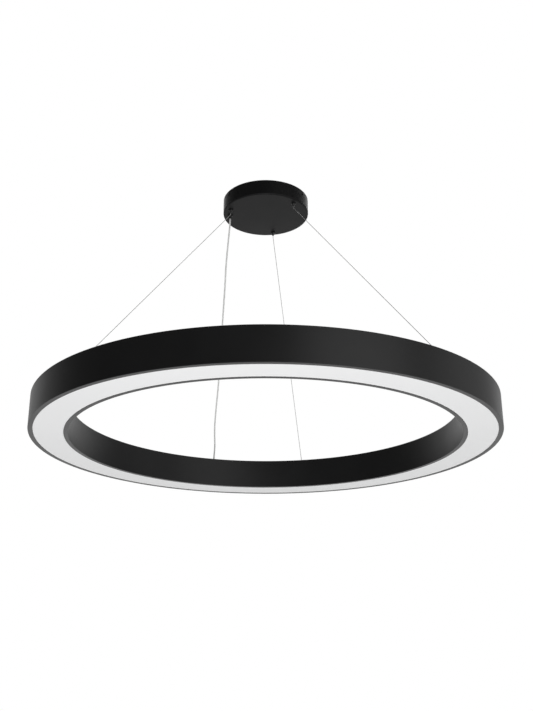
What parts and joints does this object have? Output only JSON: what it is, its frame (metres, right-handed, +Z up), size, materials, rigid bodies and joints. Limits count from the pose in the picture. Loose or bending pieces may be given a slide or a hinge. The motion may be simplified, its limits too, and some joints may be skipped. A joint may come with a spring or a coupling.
{
  "type": "led ring pendant light",
  "caption": "Wide black light ring with an opal diffuser, hung level under a round ceiling canopy on adjustable steel wires.",
  "frame": {"origin": "centre of the ceiling plate's upper face, where the light meets the ceiling", "axes": "+Z up; the picture looks along +Y from below; +X to the picture's right"},
  "size_m": [1.2, 1.2, 0.711],
  "materials": {
    "ring_black": "satin black powder coat on aluminium",
    "canopy_black": "satin black powder coat on steel",
    "plated_steel": "zinc plated",
    "black_screw": "black oxide",
    "black_turned": "black plated turned brass",
    "bright_steel": "polished",
    "steel_wire": "stranded stainless wire",
    "opal": "opal acrylic, satin",
    "white_tray": "white powder coat",
    "board_white": "white solder mask",
    "led_yellow": "phosphor on a white package",
    "connector_white": "moulded",
    "driver_white": "moulded",
    "driver_metal": "bare sheet",
    "black_plastic": "moulded",
    "black_rubber": "matte",
    "clear_cable": "pale translucent sheath",
    "lead_brown": "sheathed single cores"
  },
  "bodies": {
    "canopy": {"ceiling_plate": "plated_steel", "entry_grommet": "black_rubber", "canopy_cover": "canopy_black", "cover_screws": "black_screw", "driver_base": "driver_metal", "driver_case": "driver_white", "driver_screws": "plated_steel", "mains_terminal": "connector_white", "earth_screw": "plated_steel", "mains_leads": "lead_brown", "output_lead": "clear_cable", "canopy_gland": "black_plastic", "canopy_gland_nut": "black_plastic", "gripper_barrel_a": "black_turned", "gripper_barrel_b": "black_turned", "gripper_barrel_c": "black_turned", "gripper_nuts": "plated_steel", "gripper_caps": "black_turned", "wire_tails": "steel_wire", "gripper_spring_a": "bright_steel", "gripper_spring_b": "bright_steel", "gripper_spring_c": "bright_steel", "suspension_wire_a": "steel_wire", "suspension_wire_b": "steel_wire", "suspension_wire_c": "steel_wire", "supply_cable": "clear_cable"},
    "ring": {"outer_wall": "ring_black", "inner_wall": "ring_black", "top_plate": "ring_black", "top_plate_screws": "plated_steel", "diffuser": "opal", "led_tray": "white_tray", "tray_standoffs": "plated_steel", "standoff_screws": "plated_steel", "led_board_1": "board_white", "led_board_2": "board_white", "led_board_3": "board_white", "led_board_4": "board_white", "led_board_5": "board_white", "led_board_6": "board_white", "led_chips": "led_yellow", "board_links": "connector_white", "board_screws": "plated_steel", "wire_fixing_a": "black_turned", "wire_fixing_b": "black_turned", "wire_fixing_c": "black_turned", "fixing_nuts": "plated_steel", "wire_ends": "plated_steel", "ring_gland": "black_plastic", "ring_gland_nut": "black_plastic", "ring_terminal": "connector_white", "ring_cable_tail": "clear_cable", "feed_lead": "clear_cable", "tray_grommet": "black_rubber"},
    "plunger_a": {"gripper_plunger_a": "black_turned", "gripper_balls_a": "bright_steel"},
    "plunger_b": {"gripper_plunger_b": "black_turned", "gripper_balls_b": "bright_steel"},
    "plunger_c": {"gripper_plunger_c": "black_turned", "gripper_balls_c": "bright_steel"}
  },
  "joints": [
    {"name": "ring_height", "type": "slide", "parent": "canopy", "child": "ring", "axis": [0, 0, 1], "range_m": [0, 0.35], "deforming": ["suspension_wire_a", "suspension_wire_b", "suspension_wire_c", "supply_cable"]},
    {"name": "release_a", "type": "slide", "parent": "canopy", "child": "plunger_a", "axis": [0, 0, 1], "range_m": [0, 0.0025], "stiffness_N_per_m": 600, "springref_m": -0.002, "deforming": ["gripper_spring_a"]},
    {"name": "release_b", "type": "slide", "parent": "canopy", "child": "plunger_b", "axis": [0, 0, 1], "range_m": [0, 0.0025], "stiffness_N_per_m": 600, "springref_m": -0.002, "deforming": ["gripper_spring_b"]},
    {"name": "release_c", "type": "slide", "parent": "canopy", "child": "plunger_c", "axis": [0, 0, 1], "range_m": [0, 0.0025], "stiffness_N_per_m": 600, "springref_m": -0.002, "deforming": ["gripper_spring_c"]}
  ]
}
